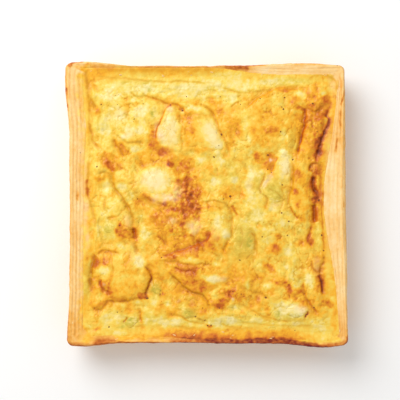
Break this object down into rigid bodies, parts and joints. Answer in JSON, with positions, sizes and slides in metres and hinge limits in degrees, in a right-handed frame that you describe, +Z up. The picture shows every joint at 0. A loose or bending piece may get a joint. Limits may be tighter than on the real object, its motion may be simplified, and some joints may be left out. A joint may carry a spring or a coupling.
{
  "type": "leek and brie quiche",
  "caption": "Square quiche: puff pastry case with flaky rims, puffed and browned egg filling with creases, and pieces of brie and leek set into its top.",
  "frame": {"origin": "middle of the flat underside, where the quiche rests", "axes": "+Z up; +X to the right and +Y to the back, as the top of the quiche is seen from above"},
  "size_m": [0.2027, 0.2046, 0.0379],
  "materials": {
    "baked_pastry": "baked puff pastry, dry and flaky, browned at the edges",
    "baked_custard": "baked egg custard with a browned, slightly shiny skin",
    "brie": "melted soft cheese, cream, with a satin shine",
    "leek": "cooked leek, olive green, under a thin skin of egg"
  },
  "bodies": {
    "root": {"pastry_case": "baked_pastry", "egg_filling": "baked_custard", "brie_triangle": "brie", "brie_slab": "brie", "brie_round": "brie", "brie_sliver": "brie", "brie_corner": "brie", "leek_wide": "leek", "leek_leaf": "leek", "leek_shred": "leek", "leek_shadow": "leek", "leek_wedge": "leek", "leek_fleck": "leek", "leek_ring": "leek", "leek_pale": "leek"}
  },
  "joints": []
}
